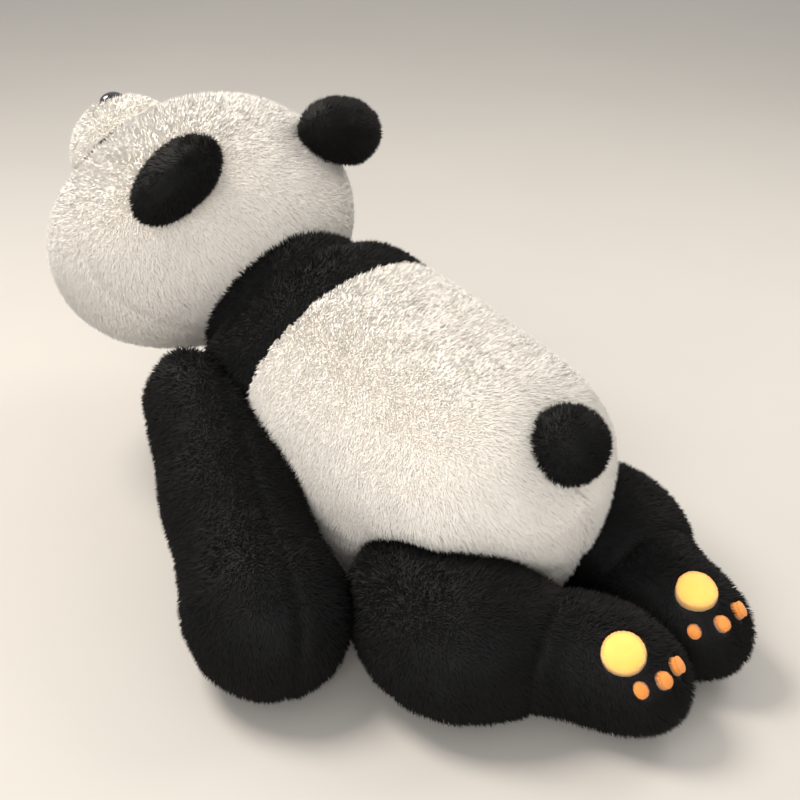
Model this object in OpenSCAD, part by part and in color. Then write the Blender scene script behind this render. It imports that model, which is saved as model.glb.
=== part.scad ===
// Plush panda lying on its front, chest raised, arms loose, soles turned back.
// Every sewn cover is its own thin curved panel and every filling its own solid.
// Millimetres. Face toward -Y, back up, +Z up, resting on Z = 0.

/* [Head] */
// Half width of the head across the ears
head_half_w = 156; // [140:1:180]
// Half depth and half height of the head
head_half_d = 132; // [120:1:150]
// Half width of one cheek lobe
cheek_half_w = 76; // [60:1:95]
// Radius of the muzzle
muzzle_r = 63; // [50:1:75]
// Half length of the base of an ear
ear_half_l = 52; // [40:1:65]
// How far an ear stands out from the middle of its base
ear_out = 40; // [30:1:55]

/* [Body] */
// Half width of the body at the shoulder seams
body_half_w = 135; // [120:1:150]
// Radius of the tail ball
tail_r = 33; // [28:1:40]

/* [Limbs] */
// Radius of an arm at the shoulder
arm_r = 59; // [48:1:66]
// Half width of a paw at the end of an arm
paw_r = 68; // [55:1:74]
// Radius of the thigh ball in its seat
thigh_r = 62; // [56:1:66]
// Half width of a foot
foot_r = 48; // [42:1:49]

/* [Fabric] */
// Thickness of the plush backing cloth
cloth_t = 2.5; // [1.5:0.1:4]
// Thickness of the pads on the soles
pad_t = 3; // [1.5:0.1:5]
// Clearance left along a seam
seam_gap = 0.3; // [0.1:0.05:0.6]

/* [Hidden] */
$fn = 72;

white = [0.96, 0.93, 0.87];
black = [0.07, 0.07, 0.08];
fill = [0.9, 0.9, 0.88];
gold = [1, 0.78, 0.38];
amber = [0.88, 0.55, 0.2];

// ---- places ----
head_c = [0, -268, 290];
muzzle_c = [0, -430, 329];
muzzle_dir = [0, -0.906, 0.423];
nose_c = [0, -458, 384];
ear_c = [106, -184, 378];
ear_along = [0.93, 0.05, -0.36];
ear_up = [0.37, 0.62, 0.69];
chest_c = [0, -80, 178];
neck_dir = [0, 0.862, -0.507];
neck_p = head_c + 150 * neck_dir;
tail_c = [0, 240, 214];
tail_up = [0, 0.776, 0.631];
shoulder = [148, -106, 176];
elbow_l = [190, -15, 118];
paw_l = [234, 86, 68];
shoulder_r = [148, -116, 160];
elbow_r = [192, -198, 104];
paw_r_c = [226, -318, 68];
// Left hip, then right hip measured on its own side: the right leg lies closer in
hips = [[112, 160, 62], [84, 166, 62]];
leg_in = [0, 30];
leg_w = [80, 66];
foot_c = [50, 343, 50];
// Both feet lie rolled to the toy's left: toward the pad and the toes, from the middle of each foot
pad_dir = [[24, 21, 47], [-13, 21, 52]];
toe_dirs = [[[31, 50, 25], [12, 58, 30], [-8, 59, 34]], [[-37, 41, 26], [-17, 57, 33], [8, 58, 35]]];

// ---- vector and blob arithmetic ----
function over(a, b) = [a.x / b.x, a.y / b.y, a.z / b.z];
function unit(a) = a / norm(a);
function flip(p) = [abs(p.x), p.y, p.z];
function ball(p, c, r) =
    let (q = over(p - c, r), g = over(q, r), k = norm(q)) k * (k - 1) / max(norm(g), 1e-6);
function blend(a, b, k) = let (h = max(k - abs(a - b), 0) / k) min(a, b) - h * h * k / 4;
function meet(a, b, k) = -blend(-a, -b, k);
function rod(p, a, b) =
    let (d = b - a, t = min(1, max(0, ((p - a) * d) / (d * d)))) norm(p - a - t * d);
function sleeve(p, a, b, ra, rb) =
    let (d = b - a, t = min(1, max(0, ((p - a) * d) / (d * d)))) norm(p - a - t * d) - ra - t * (rb - ra);

// ---- the soft shapes, each negative inside ----
function head_ball(p) = ball(p, head_c, [head_half_w, head_half_d, head_half_d]);
function ear_rod(p) =
    let (f = 0.6 * ear_half_l) rod(flip(p), ear_c - f * ear_along, ear_c + f * ear_along);
function head_bare(p) = let (q = flip(p))
    blend(head_ball(q), ball(q, [93, -306, 262], [cheek_half_w, 92, 84]), 55);
function head_f(p) = max(head_bare(p), 26 - ear_rod(p));
function muzzle_f(p) = max(
    ball(p, muzzle_c, [muzzle_r + 5, muzzle_r, muzzle_r]), 1.6 - head_bare(p));
function ear_f(p) = let (q = p - ear_c, s = q * unit(ear_up))
    let (w = q * ear_along, t = norm(q - s * unit(ear_up) - w * ear_along))
    max(ball([w, s, t], [0, 12, 0], [ear_half_l, ear_out, 27]),
        min(rod(p, ear_c - 0.6 * ear_half_l * ear_along, ear_c + 0.6 * ear_half_l * ear_along) - 22, 1 - s));
function leg_tail(p, k) = blend(
    blend(ball(p, [130 - leg_in[k], 220, 61], [leg_w[k], 90, 62]),
        sleeve(p, [112 - 0.8 * leg_in[k], 240, 60], [66, 312, 52], leg_w[k] - 18, 48), 30),
    ball(p, foot_c, [foot_r, 72, 52]), 20);
function leg_f(p, k) = max(blend(norm(p - hips[k]) - thigh_r, leg_tail(p, k), 24), -p.z);
function arm_f(p, top, elbow, paw) = max(
    blend(blend(sleeve(p, top, elbow, arm_r, 58), sleeve(p, elbow, paw, 58, paw_r - 4), 30),
        ball(p, paw, [paw_r, paw_r + 9, 69]), 30),
    body_half_w + 1.2 - p.x, -p.z);
function arm_back_f(p) = arm_f(p, shoulder, elbow_l, paw_l);
function arm_front_f(p) = arm_f(p, shoulder_r, elbow_r, paw_r_c);
function body_f(p) = let (q = flip(p), k = p.x < 0 ? 1 : 0) max(
    meet(meet(blend(blend(ball(p, chest_c, [147, 128, 130]), ball(p, [0, 25, 157], [143, 130, 130]), 40),
        blend(ball(p, [0, 128, 132], [138, 138, 131]), ball(p, [0, -5, 100], [128, 118, 109]), 50), 40),
        -min(norm(q - hips[k]) - thigh_r - 6, leg_tail(q, k) - 10), 22),
        min(5 + tail_r - norm(p - tail_c), 20 + (p - tail_c) * tail_up), 26),
    q.x - body_half_w, (neck_p - p) * neck_dir, -p.z);

function shape(s, p) =
    s == "head" ? head_f(p) : s == "muzzle" ? muzzle_f(p) : s == "ear" ? ear_f(p)
    : s == "leg" ? leg_f(p, 0) : s == "leg_near" ? leg_f(p, 1) : s == "arm_back" ? arm_back_f(p)
    : s == "arm_front" ? arm_front_f(p) : body_f(p);

// Inner line, side direction and up direction that the rays of each shape start from
function line(s) =
    s == "head" ? [head_c - [55, 0, 0], head_c + [55, 0, 0], [0, -1, 0]]
    : s == "muzzle" ? [muzzle_c, muzzle_c + 8 * muzzle_dir, [1, 0, 0]]
    : s == "ear" ? [ear_c - 22 * ear_along + 6 * ear_up, ear_c + 22 * ear_along + 6 * ear_up, [0, -1, 0]]
    : s == "leg" ? [hips[0], foot_c, [1, 0, 0]]
    : s == "leg_near" ? [hips[1], foot_c, [1, 0, 0]]
    : s == "arm_back" ? [shoulder, paw_l, [1, 0, 0]]
    : s == "arm_front" ? [shoulder_r, paw_r_c, [1, 0, 0]]
    : [[0, -50, 172], [0, 120, 132], [1, 0, 0]];

// Distance along a ray at which the shape reaches the given level
function reach(s, o, d, lv, t, n) =
    let (v = shape(s, o + t * d) - lv)
    (n == 0 || abs(v) < 0.01) ? t : reach(s, o, d, lv, max(1, t - v), n - 1);
function level(z) = abs(z) < 0.05 ? 0 : z;
function lands(s, o, d, lv) =
    let (p = o + reach(s, o, d, lv, 20, 30) * d) [p.x, p.y, level(p.z)];

function spot(s, u, v, lv) =
    let (l = line(s), e = unit(l[1] - l[0]), a = unit(l[2] - (l[2] * e) * e), b = cross(e, a))
    lands(s, l[0] + u * (l[1] - l[0]), sin(180 * u) * (cos(v) * a + sin(v) * b) - cos(180 * u) * e, lv);

// ---- meshes ----
function flat(a) = [for (r = a) for (p = r) p];
function at(i, j, m, n, wrap, pa, pb) =
    (i == 0 && pa) ? 0
    : (pa ? 1 + (i - 1) * m : i * m) + ((i == n && pb) ? 0 : (wrap ? j % m : j));
function quad(a, b, c, d) = concat(
    (a == b || b == c || a == c) ? [] : [[a, b, c]], (a == c || c == d || a == d) ? [] : [[a, c, d]]);

// Closed sheet between two layers of points laid out as rows of a grid
module sheet(outer, inner, n, m, wrap, pa, pb) {
    total = len(flat(outer));
    last = wrap ? m - 1 : m - 2;
    polyhedron(points = concat(flat(outer), flat(inner)), convexity = 4, faces = [
        for (i = [0:n - 1]) for (j = [0:last])
            let (a = at(i, j, m, n, wrap, pa, pb), b = at(i + 1, j, m, n, wrap, pa, pb),
                c = at(i + 1, j + 1, m, n, wrap, pa, pb), d = at(i, j + 1, m, n, wrap, pa, pb))
            each concat(quad(a, b, c, d), quad(d + total, c + total, b + total, a + total)),
        if (!wrap) for (i = [0:n - 1])
            let (a = at(i, 0, m, n, wrap, pa, pb), b = at(i + 1, 0, m, n, wrap, pa, pb),
                c = at(i, m - 1, m, n, wrap, pa, pb), d = at(i + 1, m - 1, m, n, wrap, pa, pb))
            each concat(quad(b, a, a + total, b + total), quad(c, d, d + total, c + total)),
        if (!pa) for (j = [0:last])
            let (a = at(0, j, m, n, wrap, pa, pb), b = at(0, j + 1, m, n, wrap, pa, pb))
            each quad(a, b, b + total, a + total),
        if (!pb) for (j = [0:last])
            let (a = at(n, j, m, n, wrap, pa, pb), b = at(n, j + 1, m, n, wrap, pa, pb))
            each quad(b, a, a + total, b + total)
    ]);
}

// Cloth panel of a shape between two stations and two bearings round it
module panel(s, u0, u1, nu, v0, v1, nv, out = 0, thick = cloth_t) {
    wrap = v1 - v0 >= 360;
    us = [for (i = [0:nu]) u0 + (u1 - u0) * i / nu];
    vs = [for (j = [0:(wrap ? nv - 1 : nv)]) v0 + (v1 - v0) * j / nv];
    outer = [for (u = us) (u == 0 || u == 1) ? [spot(s, u, 0, out)] : [for (v = vs) spot(s, u, v, out)]];
    inner = [for (u = us) (u == 0 || u == 1) ? [spot(s, u, 0, out - thick)]
        : [for (v = vs) spot(s, u, v, out - thick)]];
    sheet(outer, inner, nu, len(vs), wrap, u0 == 0, u1 == 1);
}

// Solid filling of a shape, set in from the outside
module filling(s, nu, nv, inset = cloth_t + 3) {
    pts = concat([spot(s, 0, 0, -inset)],
        [for (i = [1:nu - 1]) for (j = [0:nv - 1]) spot(s, i / nu, 360 * j / nv, -inset)],
        [spot(s, 1, 0, -inset)]);
    polyhedron(points = pts, convexity = 4, faces = [
        for (i = [0:nu - 1]) for (j = [0:nv - 1])
            each quad(at(i, j, nv, nu, true, true, true), at(i + 1, j, nv, nu, true, true, true),
                at(i + 1, j + 1, nv, nu, true, true, true), at(i, j + 1, nv, nu, true, true, true))
    ]);
}

// Sewn-on patch around the ray from o along d; a, b give half sizes in degrees
module patch(s, o, d, side, a, b, point, thick, n = 3, m = 16, lift = 0.5) {
    e = unit(d);
    x = unit(side - (side * e) * e);
    y = cross(e, x);
    ray = function (i, j) let (v = -360 * j / m, r = i / n * (1 - point * sin(v)))
        let (tx = r * a * cos(v), ty = r * b * sin(v)) unit(e + tan(tx) * x + tan(ty) * y);
    rows = [for (k = [0, 1]) [for (i = [0:n]) [for (j = [0:(i == 0 ? 0 : m - 1)])
        lands(s, o, ray(i, j), lift + (1 - k) * thick)]]];
    sheet(rows[0], rows[1], n, m, true, true, false);
}

module mirrored(right) { mirror([right ? 1 : 0, 0, 0]) children(); }

// ---- head ----
gv = seam_gap / 5;
module head_face_panel() { color(white) panel("head", 0, 1, 18, -78 + gv, 134 - gv, 15); }
module head_back_panel() { color(white) panel("head", 0, 1, 18, 134 + gv, 282 - gv, 11); }
module head_stuffing() { color(fill) filling("head", 16, 24, cloth_t + 7); }
module muzzle_panel() { color(white) panel("muzzle", 0.34, 1, 8, 0, 360, 18); }
module muzzle_stuffing() {
    color(fill) difference() {
        translate(muzzle_c + 6 * muzzle_dir) scale([muzzle_r - 9, muzzle_r - 14, muzzle_r - 14] / 10) sphere(10);
        translate(head_c) scale([head_half_w + 4, head_half_d + 4, head_half_d + 4] / 100) sphere(100);
    }
}

// Turns +Z onto the given direction in the YZ plane
module aim(d) { rotate([-atan2(d.y, d.z), 0, 0]) children(); }

nose_dir = unit(nose_c - muzzle_c);
nose_base = muzzle_c + (muzzle_r + 0.4) * nose_dir;
module nose() {
    color(black) translate(nose_base) aim(nose_dir) difference() {
        scale([17, 12, 11] / 10) sphere(10);
        translate([0, 0, -20]) cube([60, 60, 40], center = true);
    }
}
module nose_washer() {
    color([0.85, 0.85, 0.83]) translate(muzzle_c + (muzzle_r - 6.5) * nose_dir) aim(nose_dir)
        difference() {
            cylinder(h = 1.6, d = 22);
            translate([0, 0, -1]) cylinder(h = 4, d = 4);
        }
}
module mouth_stitch() {
    color(black) {
        patch("muzzle", muzzle_c, unit([0, -0.9, 0.5]), [1, 0, 0], 1.2, 17, 0, 1.6, 3, 10);
        for (k = [-1, 1])
            patch("muzzle", muzzle_c, unit([0.27 * k, -0.95, 0.16]), [1, 0, -0.12 * k], 13, 1.4, 0, 1.6, 3, 10);
    }
}

eye_dir = unit([0.49, -0.69, 0.54]);
eye_o = head_c;
module eye_patch(right) {
    color(black) mirrored(right)
        patch("head", eye_o, eye_dir, [1, 0.35, -0.8], 15, 10, 0, cloth_t, 4, 18);
}
module eye_patch_left() { eye_patch(false); }
module eye_patch_right() { eye_patch(true); }
eye_p = lands("head", eye_o, eye_dir, 0);
module toward_eye() {
    translate(eye_p) rotate([0, 0, atan2(eye_dir.y, eye_dir.x)]) rotate([0, acos(eye_dir.z), 0]) children();
}
module eye(right) {
    color(black) mirrored(right) toward_eye() translate([0, 0, cloth_t + 3.1]) difference() {
        scale([10, 10, 8] / 10) sphere(10);
        translate([0, 0, -20]) cube([60, 60, 40], center = true);
    }
}
module eye_left() { eye(false); }
module eye_right() { eye(true); }
module eye_washer(right) {
    color([0.85, 0.85, 0.83]) mirrored(right) toward_eye() translate([0, 0, -7.8]) difference() {
        cylinder(h = 1.4, d = 16);
        translate([0, 0, -1]) cylinder(h = 4, d = 4);
    }
}
module eye_washer_left() { eye_washer(false); }
module eye_washer_right() { eye_washer(true); }

module ear(right) {
    color(black) mirrored(right) difference() {
        filling("ear", 8, 14, 0);
        filling("ear", 8, 14, cloth_t);
    }
}
module ear_left() { ear(false); }
module ear_right() { ear(true); }
module ear_stuffing(right) { color(fill) mirrored(right) filling("ear", 6, 10, cloth_t + 2.5); }
module ear_stuffing_left() { ear_stuffing(false); }
module ear_stuffing_right() { ear_stuffing(true); }

module neck_roll() {
    r = 96;
    h = 40;
    color(black) difference() {
        translate(neck_p - 0.6 * neck_dir) aim(-neck_dir)
            rotate_extrude($fn = 72) polygon([[0, 0], [r - 8, 0], [r - 2.3, 2.3], [r, 8], [r - 1, 20],
                [r - 5, 30], [r - 12, h], [0, h]]);
        translate(head_c) scale([head_half_w + 2, head_half_d + 2, head_half_d + 2] / 100) sphere(100);
    }
}

// ---- body ----
yoke_u = 0.35;
gu = seam_gap / 700;
module yoke_panel() { color(black) panel("body", 0, yoke_u - gu, 9, 0, 360, 28); }
module back_panel() { color(white) panel("body", yoke_u + gu, 1, 15, 160 + gv, 380 - gv, 22); }
module belly_panel() { color(white) panel("body", yoke_u + gu, 1, 15, 20 + gv, 160 - gv, 13); }
module body_stuffing() { color(fill) filling("body", 18, 26, cloth_t + 12); }
// Ball cut flat where its open edge is sewn down
module tail_dome(r, low) {
    translate(tail_c) aim(tail_up) difference() {
        sphere(r);
        translate([0, 0, -50 - low]) cube(100, center = true);
        children();
    }
}
module tail_cover() { color(black) tail_dome(tail_r, 12) sphere(tail_r - cloth_t); }
module tail_stuffing() { color(fill) tail_dome(tail_r - cloth_t - 0.6, 11); }

// ---- arms ----
module arm_outer_left() { color(black) panel("arm_back", 0, 1, 14, -90 + gv, 90 - gv, 8); }
module arm_inner_left() { color(black) panel("arm_back", 0, 1, 14, 90 + gv, 270 - gv, 8); }
module arm_stuffing_left() { color(fill) filling("arm_back", 11, 12, cloth_t + 5); }
module arm_outer_right() { color(black) mirrored(true) panel("arm_front", 0, 1, 14, -90 + gv, 90 - gv, 8); }
module arm_inner_right() { color(black) mirrored(true) panel("arm_front", 0, 1, 14, 90 + gv, 270 - gv, 8); }
module arm_stuffing_right() { color(fill) mirrored(true) filling("arm_front", 11, 12, cloth_t + 5); }

// ---- legs ----
foot_u = 0.6;
function leg_name(right) = right ? "leg_near" : "leg";
module leg_panel(right) { color(black) mirrored(right) panel(leg_name(right), 0, foot_u - gu, 9, 0, 360, 18); }
module foot_panel(right) { color(black) mirrored(right) panel(leg_name(right), foot_u + gu, 1, 7, 0, 360, 18); }
module leg_stuffing(right) { color(fill) mirrored(right) filling(leg_name(right), 12, 13, cloth_t + 6); }
module leg_panel_left() { leg_panel(false); }
module leg_panel_right() { leg_panel(true); }
module foot_panel_left() { foot_panel(false); }
module foot_panel_right() { foot_panel(true); }
module leg_stuffing_left() { leg_stuffing(false); }
module leg_stuffing_right() { leg_stuffing(true); }

module sole_pad(right) {
    color(gold) mirrored(right)
        patch(leg_name(right), foot_c, pad_dir[right ? 1 : 0], [-1, 0, 0], 20, 19, 0.18, pad_t, 4, 20);
}
module sole_pad_left() { sole_pad(false); }
module sole_pad_right() { sole_pad(true); }
module toe_pads(right) {
    color(amber) mirrored(right) for (d = toe_dirs[right ? 1 : 0])
        patch(leg_name(right), foot_c, d, [-1, 0, 0], 5.5, 7, 0.1, pad_t - 0.6, 2, 12);
}
module toe_pads_left() { toe_pads(false); }
module toe_pads_right() { toe_pads(true); }

head_face_panel();
head_back_panel();
head_stuffing();
muzzle_panel();
muzzle_stuffing();
nose();
nose_washer();
mouth_stitch();
eye_patch_left();
eye_patch_right();
eye_left();
eye_right();
eye_washer_left();
eye_washer_right();
ear_left();
ear_right();
ear_stuffing_left();
ear_stuffing_right();
neck_roll();
yoke_panel();
back_panel();
belly_panel();
body_stuffing();
tail_cover();
tail_stuffing();
arm_outer_left();
arm_inner_left();
arm_stuffing_left();
arm_outer_right();
arm_inner_right();
arm_stuffing_right();
leg_panel_left();
foot_panel_left();
leg_stuffing_left();
leg_panel_right();
foot_panel_right();
leg_stuffing_right();
sole_pad_left();
sole_pad_right();
toe_pads_left();
toe_pads_right();
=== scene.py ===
# %% [markdown]
# # A plush panda, from bare cloth to combed pile
# The toy lies on its front with its chest raised. It is cut from short fluffy plush in white and black, sewn
# into closed bags and stuffed with fibre. Hard CAD shapes can't show that, so each bag is rebuilt here as a
# smooth swollen skin that keeps to its CAD solid, and a pile of fine strands is grown over it.

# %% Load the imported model
import math

import bmesh
import bpy
import numpy as np
from mathutils import Matrix, Vector
from mathutils.bvhtree import BVHTree
from mathutils.kdtree import KDTree


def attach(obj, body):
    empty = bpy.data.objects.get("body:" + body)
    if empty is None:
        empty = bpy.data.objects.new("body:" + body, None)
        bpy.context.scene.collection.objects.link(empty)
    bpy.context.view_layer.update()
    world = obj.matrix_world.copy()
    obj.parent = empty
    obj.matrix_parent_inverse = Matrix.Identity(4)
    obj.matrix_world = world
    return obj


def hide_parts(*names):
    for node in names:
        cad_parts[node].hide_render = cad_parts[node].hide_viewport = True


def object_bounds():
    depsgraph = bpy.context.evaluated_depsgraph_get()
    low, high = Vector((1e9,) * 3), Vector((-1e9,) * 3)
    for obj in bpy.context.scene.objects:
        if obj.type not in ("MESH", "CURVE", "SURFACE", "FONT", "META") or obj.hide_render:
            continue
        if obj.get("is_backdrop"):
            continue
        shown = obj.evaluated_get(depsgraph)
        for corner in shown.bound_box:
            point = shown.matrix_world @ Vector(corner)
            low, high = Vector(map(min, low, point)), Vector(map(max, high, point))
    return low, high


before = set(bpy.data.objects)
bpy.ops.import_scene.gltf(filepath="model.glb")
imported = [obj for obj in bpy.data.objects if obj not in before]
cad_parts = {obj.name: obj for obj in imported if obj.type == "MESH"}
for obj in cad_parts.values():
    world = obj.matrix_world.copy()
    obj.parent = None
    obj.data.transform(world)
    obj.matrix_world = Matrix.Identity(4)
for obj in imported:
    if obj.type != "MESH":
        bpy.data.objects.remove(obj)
cad_box = [list(map(float, corner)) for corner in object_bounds()]
print("CAD box", [[round(v, 3) for v in corner] for corner in cad_box])

# %% [markdown]
# ## The view
# We look from behind the toy's left side and from above, so the back, the tail and both soles show. A lens of
# moderate length keeps the head large enough against the feet, which are nearer.

# %% Camera
def look_from(azimuth, elevation, distance, target, lens):
    a, e = math.radians(azimuth), math.radians(elevation)
    back = Vector((math.sin(a) * math.cos(e), -math.cos(a) * math.cos(e), math.sin(e)))
    right = (-back).cross(Vector((0, 0, 1))).normalized()
    up = right.cross(-back)
    turn = Matrix((right, up, back)).transposed().to_4x4()
    camera = bpy.data.objects.new("camera", bpy.data.cameras.new("camera"))
    camera.matrix_world = Matrix.Translation(Vector(target) + back * distance) @ turn
    camera.data.lens = lens
    camera.data.sensor_width = 36
    bpy.context.scene.collection.objects.link(camera)
    bpy.context.scene.camera = camera
    return camera


camera = look_from(135, 30, 1.275, (-0.025, 0, 0.153), 54)
print("camera at", [round(v, 3) for v in camera.location])

# %% [markdown]
# ## Soft light and a pale floor
# Plush is soft and matt, and its form shows only through slow shading. One large warm lamp from the upper left
# models the back, a weak cool one fills the far side, and a pale world keeps the shadows open.

# %% Lights, world and floor
def lamp(name, place, aim, size, power, colour):
    light = bpy.data.lights.new(name, "AREA")
    light.shape, light.size, light.energy, light.color = "DISK", size, power, colour
    holder = bpy.data.objects.new(name, light)
    holder.location = place
    holder.rotation_euler = (Vector(aim) - Vector(place)).to_track_quat("-Z", "Y").to_euler()
    bpy.context.scene.collection.objects.link(holder)


middle = (0, -0.02, 0.18)
lamp("key", (0.55, -0.9, 1.9), middle, 0.9, 52, (1.0, 0.93, 0.84))
lamp("fill", (1.6, 1.3, 1.0), middle, 1.4, 26, (1.0, 0.97, 0.94))
lamp("rim", (-1.3, 0.4, 1.3), middle, 0.9, 12, (1.0, 0.95, 0.88))
world = bpy.data.worlds.new("studio")
world.use_nodes = True
world.node_tree.nodes["Background"].inputs["Color"].default_value = (1.0, 0.97, 0.93, 1)
world.node_tree.nodes["Background"].inputs["Strength"].default_value = 0.75
bpy.context.scene.world = world

# %% [markdown]
# ## A short way to write shader nodes
# Node trees are easier to read as arithmetic. `Flow` stands for one socket and turns `+ - * /` into Math nodes;
# `Tree.add` makes any other node from its type, its settings and what goes into its sockets.

# %% Shader and geometry node helpers
class Flow:
    def __init__(self, tree, socket):
        self.tree, self.socket = tree, socket

    def maths(self, operation, *others):
        return self.tree.add("ShaderNodeMath", {"operation": operation}, [self, *others])

    def __add__(self, other): return self.maths("ADD", other)
    def __sub__(self, other): return self.maths("SUBTRACT", other)
    def __mul__(self, other): return self.maths("MULTIPLY", other)
    def __truediv__(self, other): return self.maths("DIVIDE", other)
    __radd__, __rmul__ = __add__, __mul__

    def out(self, name):
        return Flow(self.tree, self.tree.pick(self.socket.node.outputs, name))

    def clamped(self):
        return self.tree.add("ShaderNodeClamp", {}, [self])


class Tree:
    def __init__(self, node_tree):
        self.tree = node_tree

    def add(self, kind, settings=None, inputs=(), out=0):
        node = self.tree.nodes.new(kind)
        for key, value in (settings or {}).items():
            setattr(node, key, value)
        for key, value in inputs.items() if isinstance(inputs, dict) else enumerate(inputs):
            socket = self.pick(node.inputs, key)
            if isinstance(value, Flow):
                self.tree.links.new(value.socket, socket)
            elif value is not None:
                socket.default_value = value
        return None if out is None else Flow(self, self.pick(node.outputs, out))

    def pick(self, sockets, key):
        """The socket in use with that name, or the one at that place among those in use."""
        used = [s for s in sockets if s.enabled]
        return used[key] if isinstance(key, int) else next(s for s in used if s.name == key)

    def vectors(self, operation, *inputs):
        return self.add("ShaderNodeVectorMath", {"operation": operation}, inputs)

    def scaled(self, vector, size):
        return self.add("ShaderNodeVectorMath", {"operation": "SCALE"}, {0: vector, "Scale": size})

    def keep(self, geometry, name, kind, value):
        return self.add("GeometryNodeStoreNamedAttribute", {"data_type": kind, "domain": "POINT"},
                        {"Geometry": geometry, "Name": name, "Value": value})

    def mix(self, factor, a, b):
        a, b = (v if isinstance(v, Flow) else (*v, 1) for v in (a, b))
        return self.add("ShaderNodeMix", {"data_type": "RGBA"}, {"Factor": factor, "A": a, "B": b})


def finish_material(name, build, **fixed):
    """A Principled material: fixed values on its own sockets, varying ones linked by build(tree)."""
    material = bpy.data.materials.new(name)
    material.use_nodes = True
    tree = Tree(material.node_tree)
    shader = material.node_tree.nodes["Principled BSDF"]
    for key, value in fixed.items():
        shader.inputs[key.replace("_", " ")].default_value = value
    for key, flow in (build(tree) or {}).items():
        material.node_tree.links.new(flow.socket, shader.inputs[key])
    return material


def noise(tree, where, scale, detail=3.0, rough=0.55):
    return tree.add("ShaderNodeTexNoise", {}, {"Vector": where, "Scale": scale, "Detail": detail,
                                               "Roughness": rough})


def spot(tree):
    return tree.add("ShaderNodeTexCoord").out("Object")


print("node helpers ready")

# %% [markdown]
# ## Cloth and pile finishes
# Plush has two layers to a shader: the knitted backing deep between the strands, painted darker than the pile as
# painted shade because little light gets there, and the strands, painted darker at the root as painted shade deep
# in the pile and pale at the tip. Each strand carries its own small map: across it runs a tone picked at random,
# along it the way from root to tip. The strand material reads only that map.

# %% Plush materials
def backing(name, deep, pale, bump):
    def build(tree):
        where = spot(tree)
        cloud = noise(tree, where, 26, 4)
        knit = tree.add("ShaderNodeTexVoronoi", {}, {"Vector": where, "Scale": 620.0})
        height = tree.add("ShaderNodeBump", {}, {"Strength": bump, "Distance": 0.0008, "Height": knit})
        return {"Base Color": tree.mix(cloud, deep, pale), "Normal": height}
    return finish_material(name, build, Roughness=0.95)


def strands(name, shaded_root, tip, dull, rough, sheen, shine):
    def build(tree):
        split = tree.add("ShaderNodeSeparateXYZ", {}, [tree.add("ShaderNodeUVMap", {"uv_map": "OFBake"})])
        tone, along = split, split.out("Y")
        # painted shade: each strand is painted darker towards its root, deep in the pile, and pale at its tip
        grown = tree.mix((along * 1.3).clamped(), shaded_root, tip)
        return {"Base Color": tree.mix(tone * 0.5, grown, dull)}
    return finish_material(name, build, Roughness=rough, Sheen_Weight=sheen, Sheen_Roughness=0.4,
                           Specular_IOR_Level=shine)


# the white backing is painted darker than the white pile, as painted shade between the strands
white_backing = backing("white plush backing", (0.72, 0.66, 0.58), (0.82, 0.77, 0.70), 0.3)
black_backing = backing("black plush backing", (0.002, 0.002, 0.0025), (0.005, 0.0045, 0.005), 0.3)
# the first colour given to each pile is its root colour, painted darker as painted shade deep in the pile
white_pile = strands("white plush pile", (0.86, 0.81, 0.74), (0.95, 0.92, 0.87), (0.90, 0.86, 0.79), 0.9, 0.25, 0.3)
black_pile = strands("black plush pile", (0.001, 0.001, 0.0012), (0.004, 0.0038, 0.004),
                     (0.002, 0.002, 0.0022), 0.65, 0.0, 0.22)
print("plush materials:", [m.name for m in (white_backing, black_backing, white_pile, black_pile)])


# %% Floor
def floor_paint(tree):
    return {"Base Color": tree.mix(noise(tree, spot(tree), 3), (0.42, 0.405, 0.385), (0.45, 0.435, 0.41))}


def make_object(name, verts, faces, material):
    mesh = bpy.data.meshes.new(name)
    mesh.from_pydata(verts, [], faces)
    mesh.update()
    piece = bpy.data.objects.new(name, mesh)
    bpy.context.scene.collection.objects.link(piece)
    mesh.materials.append(material)
    return piece


floor = make_object("floor", [(-6, -6, 0), (6, -6, 0), (6, 6, 0), (-6, 6, 0)], [(0, 1, 2, 3)],
                    finish_material("pale floor", floor_paint, Roughness=0.8))
floor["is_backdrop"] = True

# %% [markdown]
# ## From CAD panels to stuffed skins
# The CAD gives each bag as stiff panels round a filling. Joined and rebuilt with a voxel remesh they become one
# even closed net, and smoothing takes out the facets. Air pressure in a short cloth simulation then swells it as
# fibre does, and every point is held to a few millimetres of travel, so the bag keeps to its CAD solid.

# %% Mesh helpers
SWELL_FRAMES = 20


def cad_triangles(node):
    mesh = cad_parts[node].data
    points = np.empty(len(mesh.vertices) * 3, np.float32)
    mesh.vertices.foreach_get("co", points)
    mesh.calc_loop_triangles()
    corners = np.empty(len(mesh.loop_triangles) * 3, np.int32)
    mesh.loop_triangles.foreach_get("vertices", corners)
    return points.reshape(-1, 3), corners.reshape(-1, 3)


def joined(nodes):
    """One bmesh holding merged copies of several CAD nodes."""
    bm = bmesh.new()
    for node in nodes:
        points, corners = cad_triangles(node)
        verts = [bm.verts.new(p) for p in points.tolist()]
        for a, b, c in corners.tolist():
            try:
                bm.faces.new((verts[a], verts[b], verts[c]))
            except ValueError:
                pass
    bmesh.ops.remove_doubles(bm, verts=bm.verts, dist=1e-5)
    return bm


def evaluated_mesh(piece):
    depsgraph = bpy.context.evaluated_depsgraph_get()
    return bpy.data.meshes.new_from_object(piece.evaluated_get(depsgraph), preserve_all_data_layers=True,
                                           depsgraph=depsgraph)


def bake_modifiers(piece):
    mesh = evaluated_mesh(piece)
    piece.modifiers.clear()
    old, piece.data = piece.data, mesh
    bpy.data.meshes.remove(old)


def vertex_array(mesh):
    points = np.empty(len(mesh.vertices) * 3, np.float64)
    mesh.vertices.foreach_get("co", points)
    return points.reshape(-1, 3)


def set_vertices(mesh, points):
    mesh.vertices.foreach_set("co", np.ascontiguousarray(points, np.float32).ravel())
    mesh.update()


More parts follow.
